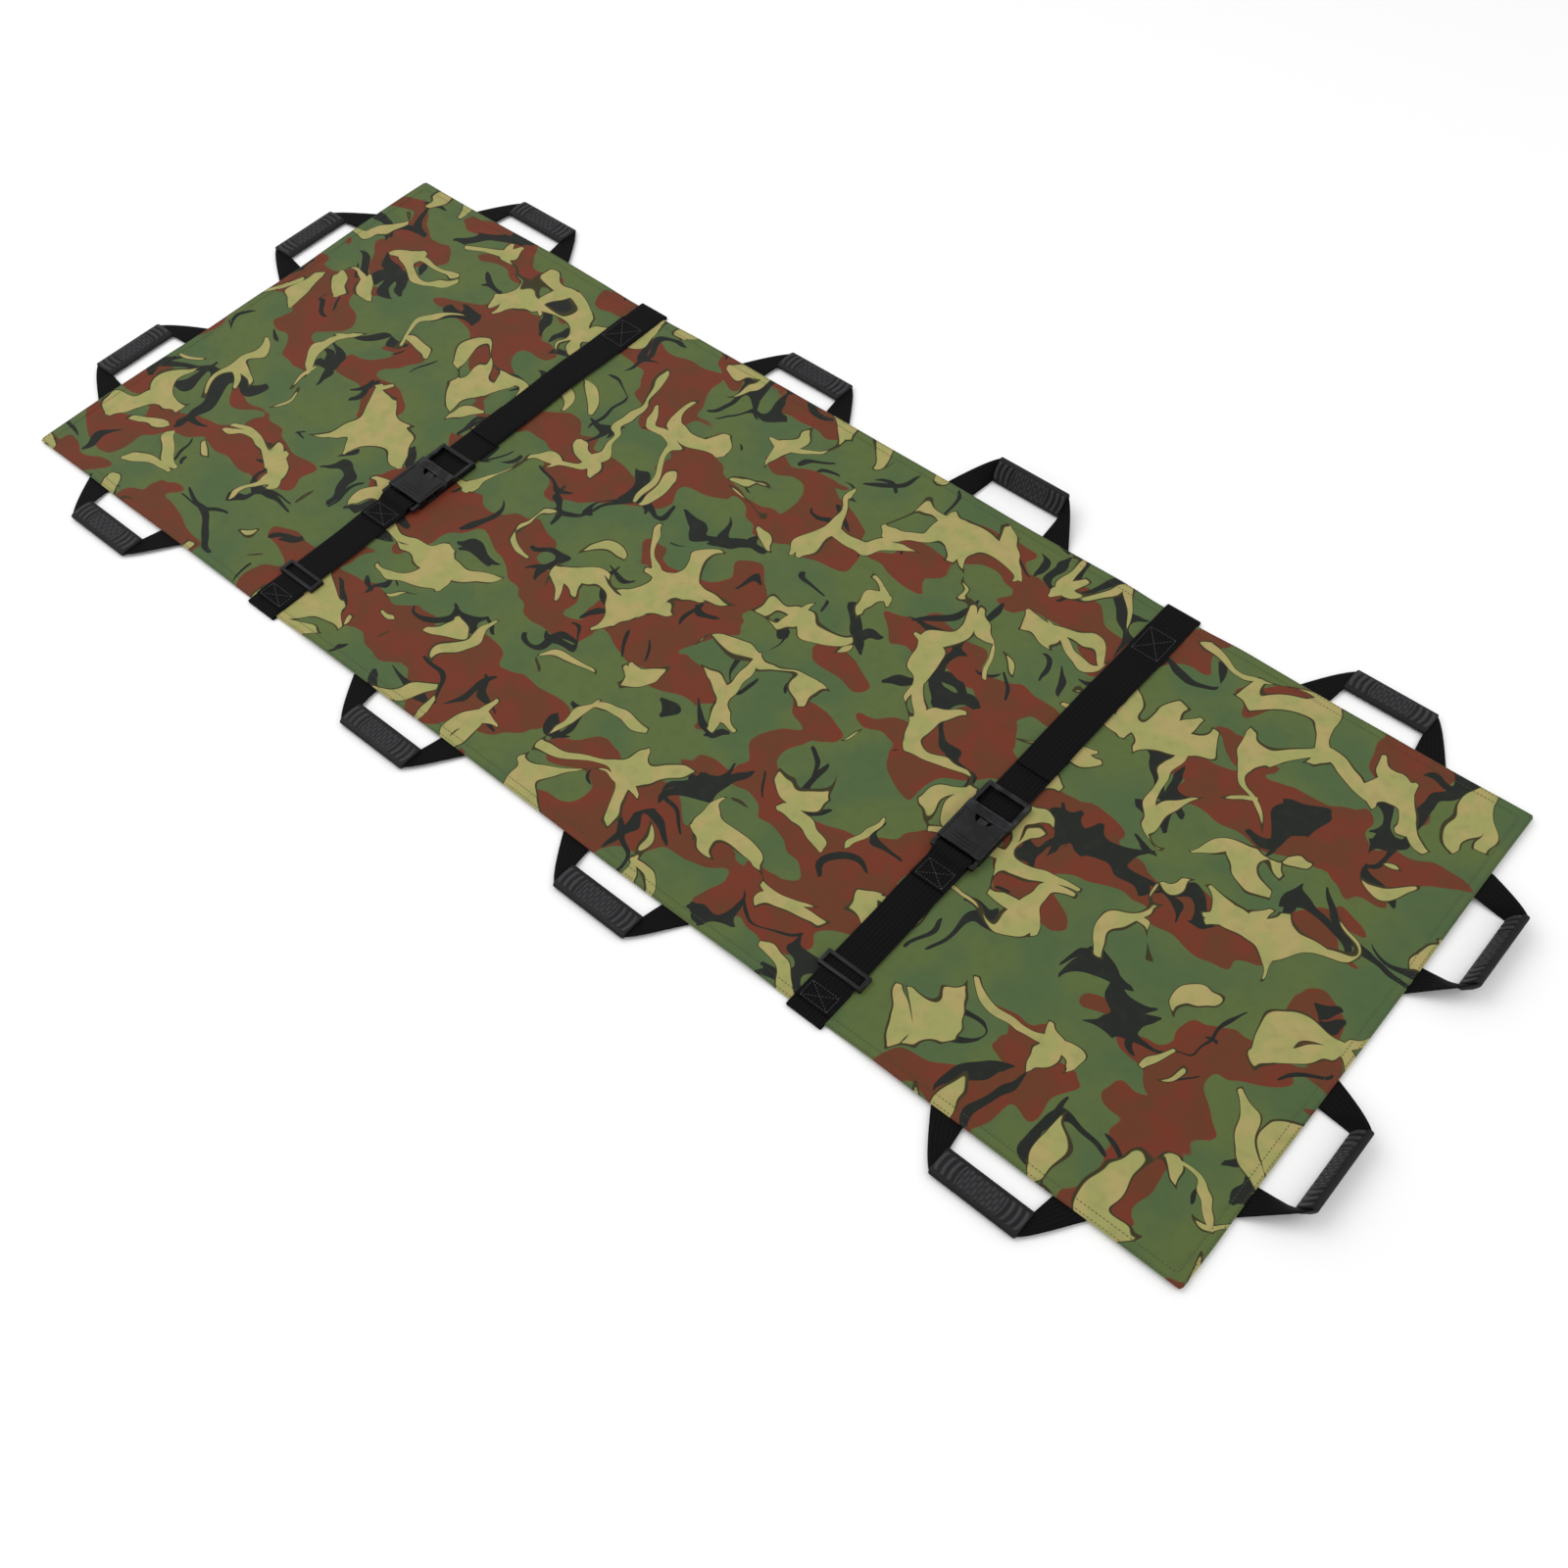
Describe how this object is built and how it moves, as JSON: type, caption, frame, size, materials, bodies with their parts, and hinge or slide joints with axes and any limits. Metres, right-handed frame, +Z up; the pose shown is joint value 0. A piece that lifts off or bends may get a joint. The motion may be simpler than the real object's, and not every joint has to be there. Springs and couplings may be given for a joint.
{
  "type": "folding stretcher",
  "caption": "Soft carrying stretcher of camouflage cloth that folds up, with webbing handles and moulded grips on every edge and patient belts closed by side-release buckles.",
  "frame": {"origin": "middle of the sheet at ground level, under the load webbing", "axes": "+X from the head end to the foot end, +Y to the patient's left, +Z up"},
  "size_m": [2.026, 0.866, 0.0349],
  "materials": {
    "camo_cloth": "matte woven polyester printed in woodland camouflage",
    "backing_cloth": "coated cloth, slight sheen",
    "handle_webbing": "black woven webbing",
    "belt_webbing": "black woven webbing, flat weave",
    "grip_plastic": "black moulded grip, ribbed, satin",
    "buckle_plastic": "black moulded acetal, satin"
  },
  "bodies": {
    "head_end_panel": {"head_end_top_cloth": "camo_cloth", "head_end_base_cloth": "backing_cloth", "head_end_load_webbing": "handle_webbing", "head_end_hem": "camo_cloth"},
    "head_mid_panel": {"head_mid_top_cloth": "camo_cloth", "head_mid_base_cloth": "backing_cloth", "head_mid_load_webbing": "handle_webbing", "head_mid_hem": "camo_cloth", "head_belt_left_anchor": "belt_webbing", "head_belt_right_anchor": "belt_webbing"},
    "foot_mid_panel": {"foot_mid_top_cloth": "camo_cloth", "foot_mid_base_cloth": "backing_cloth", "foot_mid_load_webbing": "handle_webbing", "foot_mid_hem": "camo_cloth", "foot_belt_left_anchor": "belt_webbing", "foot_belt_right_anchor": "belt_webbing"},
    "foot_end_panel": {"foot_end_top_cloth": "camo_cloth", "foot_end_base_cloth": "backing_cloth", "foot_end_load_webbing": "handle_webbing", "foot_end_hem": "camo_cloth"},
    "left_handle_1": {"left_handle_1_webbing": "handle_webbing", "left_handle_1_grip": "grip_plastic"},
    "left_handle_2": {"left_handle_2_webbing": "handle_webbing", "left_handle_2_grip": "grip_plastic"},
    "left_handle_3": {"left_handle_3_webbing": "handle_webbing", "left_handle_3_grip": "grip_plastic"},
    "left_handle_4": {"left_handle_4_webbing": "handle_webbing", "left_handle_4_grip": "grip_plastic"},
    "right_handle_1": {"right_handle_1_webbing": "handle_webbing", "right_handle_1_grip": "grip_plastic"},
    "right_handle_2": {"right_handle_2_webbing": "handle_webbing", "right_handle_2_grip": "grip_plastic"},
    "right_handle_3": {"right_handle_3_webbing": "handle_webbing", "right_handle_3_grip": "grip_plastic"},
    "right_handle_4": {"right_handle_4_webbing": "handle_webbing", "right_handle_4_grip": "grip_plastic"},
    "head_handle_left": {"head_handle_left_webbing": "handle_webbing", "head_handle_left_grip": "grip_plastic"},
    "head_handle_right": {"head_handle_right_webbing": "handle_webbing", "head_handle_right_grip": "grip_plastic"},
    "foot_handle_left": {"foot_handle_left_webbing": "handle_webbing", "foot_handle_left_grip": "grip_plastic"},
    "foot_handle_right": {"foot_handle_right_webbing": "handle_webbing", "foot_handle_right_grip": "grip_plastic"},
    "head_belt_left_half": {"head_belt_left_webbing": "belt_webbing"},
    "head_belt_plug": {"head_belt_plug": "buckle_plastic"},
    "head_belt_latch_head_side": {"head_belt_latch_arm_head_side": "buckle_plastic"},
    "head_belt_latch_foot_side": {"head_belt_latch_arm_foot_side": "buckle_plastic"},
    "head_belt_right_half": {"head_belt_right_webbing": "belt_webbing", "head_belt_socket": "buckle_plastic"},
    "head_belt_adjuster": {"head_belt_adjuster": "buckle_plastic"},
    "foot_belt_left_half": {"foot_belt_left_webbing": "belt_webbing"},
    "foot_belt_plug": {"foot_belt_plug": "buckle_plastic"},
    "foot_belt_latch_head_side": {"foot_belt_latch_arm_head_side": "buckle_plastic"},
    "foot_belt_latch_foot_side": {"foot_belt_latch_arm_foot_side": "buckle_plastic"},
    "foot_belt_right_half": {"foot_belt_right_webbing": "belt_webbing", "foot_belt_socket": "buckle_plastic"},
    "foot_belt_adjuster": {"foot_belt_adjuster": "buckle_plastic"}
  },
  "joints": [
    {"name": "fold_middle", "type": "hinge", "parent": "foot_mid_panel", "child": "head_mid_panel", "pos_m": [0, 0, 0.05], "axis": [0, -1, 0], "range_deg": [-179, 0]},
    {"name": "fold_head_end", "type": "hinge", "parent": "head_mid_panel", "child": "head_end_panel", "pos_m": [-0.575, 0, 0.022], "axis": [0, -1, 0], "range_deg": [-179, 0]},
    {"name": "fold_foot_end", "type": "hinge", "parent": "foot_mid_panel", "child": "foot_end_panel", "pos_m": [0.575, 0, 0.022], "axis": [0, 1, 0], "range_deg": [-179, 0]},
    {"name": "lift_left_handle_1", "type": "hinge", "parent": "head_end_panel", "child": "left_handle_1", "pos_m": [-0.735, 0.3725, 0.001], "axis": [1, 0, 0], "range_deg": [0, 90]},
    {"name": "lift_left_handle_2", "type": "hinge", "parent": "head_mid_panel", "child": "left_handle_2", "pos_m": [-0.186, 0.3725, 0.001], "axis": [1, 0, 0], "range_deg": [0, 90]},
    {"name": "lift_left_handle_3", "type": "hinge", "parent": "foot_mid_panel", "child": "left_handle_3", "pos_m": [0.186, 0.3725, 0.001], "axis": [1, 0, 0], "range_deg": [0, 90]},
    {"name": "lift_left_handle_4", "type": "hinge", "parent": "foot_end_panel", "child": "left_handle_4", "pos_m": [0.735, 0.3725, 0.001], "axis": [1, 0, 0], "range_deg": [0, 90]},
    {"name": "lift_right_handle_1", "type": "hinge", "parent": "head_end_panel", "child": "right_handle_1", "pos_m": [-0.735, -0.3725, 0.001], "axis": [-1, 0, 0], "range_deg": [0, 90]},
    {"name": "lift_right_handle_2", "type": "hinge", "parent": "head_mid_panel", "child": "right_handle_2", "pos_m": [-0.186, -0.3725, 0.001], "axis": [-1, 0, 0], "range_deg": [0, 90]},
    {"name": "lift_right_handle_3", "type": "hinge", "parent": "foot_mid_panel", "child": "right_handle_3", "pos_m": [0.186, -0.3725, 0.001], "axis": [-1, 0, 0], "range_deg": [0, 90]},
    {"name": "lift_right_handle_4", "type": "hinge", "parent": "foot_end_panel", "child": "right_handle_4", "pos_m": [0.735, -0.3725, 0.001], "axis": [-1, 0, 0], "range_deg": [0, 90]},
    {"name": "lift_head_handle_left", "type": "hinge", "parent": "head_end_panel", "child": "head_handle_left", "pos_m": [-0.9525, 0.168, 0.001], "axis": [0, 1, 0], "range_deg": [0, 90]},
    {"name": "lift_head_handle_right", "type": "hinge", "parent": "head_end_panel", "child": "head_handle_right", "pos_m": [-0.9525, -0.168, 0.001], "axis": [0, 1, 0], "range_deg": [0, 90]},
    {"name": "lift_foot_handle_left", "type": "hinge", "parent": "foot_end_panel", "child": "foot_handle_left", "pos_m": [0.9525, 0.168, 0.001], "axis": [0, -1, 0], "range_deg": [0, 90]},
    {"name": "lift_foot_handle_right", "type": "hinge", "parent": "foot_end_panel", "child": "foot_handle_right", "pos_m": [0.9525, -0.168, 0.001], "axis": [0, -1, 0], "range_deg": [0, 90]},
    {"name": "head_belt_open_left", "type": "hinge", "parent": "head_mid_panel", "child": "head_belt_left_half", "pos_m": [-0.462, 0.27, 0.0085], "axis": [-1, 0, 0], "range_deg": [0, 170]},
    {"name": "head_belt_open_right", "type": "hinge", "parent": "head_mid_panel", "child": "head_belt_right_half", "pos_m": [-0.462, -0.32, 0.0085], "axis": [1, 0, 0], "range_deg": [0, 170]},
    {"name": "head_belt_pull_plug", "type": "slide", "parent": "head_belt_left_half", "child": "head_belt_plug", "axis": [0, 1, 0], "range_m": [0, 0.04], "deforming": ["head_belt_latch_arm_head_side", "head_belt_latch_arm_foot_side"]},
    {"name": "head_belt_squeeze_foot_side", "type": "hinge", "parent": "head_belt_plug", "child": "head_belt_latch_foot_side", "pos_m": [-0.444, -0.07, 0.0116], "axis": [0, 0, -1], "range_deg": [0, 10], "stiffness_Nm_per_rad": 0.2},
    {"name": "head_belt_squeeze_head_side", "type": "hinge", "parent": "head_belt_plug", "child": "head_belt_latch_head_side", "pos_m": [-0.48, -0.07, 0.0116], "axis": [0, 0, 1], "range_deg": [0, 10], "stiffness_Nm_per_rad": 0.2},
    {"name": "head_belt_slide_adjuster", "type": "slide", "parent": "head_belt_right_half", "child": "head_belt_adjuster", "axis": [0, 1, 0], "range_m": [0, 0.06]},
    {"name": "foot_belt_open_left", "type": "hinge", "parent": "foot_mid_panel", "child": "foot_belt_left_half", "pos_m": [0.462, 0.27, 0.0085], "axis": [-1, 0, 0], "range_deg": [0, 170]},
    {"name": "foot_belt_open_right", "type": "hinge", "parent": "foot_mid_panel", "child": "foot_belt_right_half", "pos_m": [0.462, -0.32, 0.0085], "axis": [1, 0, 0], "range_deg": [0, 170]},
    {"name": "foot_belt_pull_plug", "type": "slide", "parent": "foot_belt_left_half", "child": "foot_belt_plug", "axis": [0, 1, 0], "range_m": [0, 0.04], "deforming": ["foot_belt_latch_arm_head_side", "foot_belt_latch_arm_foot_side"]},
    {"name": "foot_belt_squeeze_foot_side", "type": "hinge", "parent": "foot_belt_plug", "child": "foot_belt_latch_foot_side", "pos_m": [0.48, -0.047, 0.0116], "axis": [0, 0, -1], "range_deg": [0, 10], "stiffness_Nm_per_rad": 0.2},
    {"name": "foot_belt_squeeze_head_side", "type": "hinge", "parent": "foot_belt_plug", "child": "foot_belt_latch_head_side", "pos_m": [0.444, -0.047, 0.0116], "axis": [0, 0, 1], "range_deg": [0, 10], "stiffness_Nm_per_rad": 0.2},
    {"name": "foot_belt_slide_adjuster", "type": "slide", "parent": "foot_belt_right_half", "child": "foot_belt_adjuster", "axis": [0, 1, 0], "range_m": [0, 0.06]}
  ],
  "couplings": [
    {"joint": "head_belt_squeeze_head_side", "follows": "head_belt_squeeze_foot_side", "ratio": 1},
    {"joint": "foot_belt_squeeze_head_side", "follows": "foot_belt_squeeze_foot_side", "ratio": 1}
  ]
}
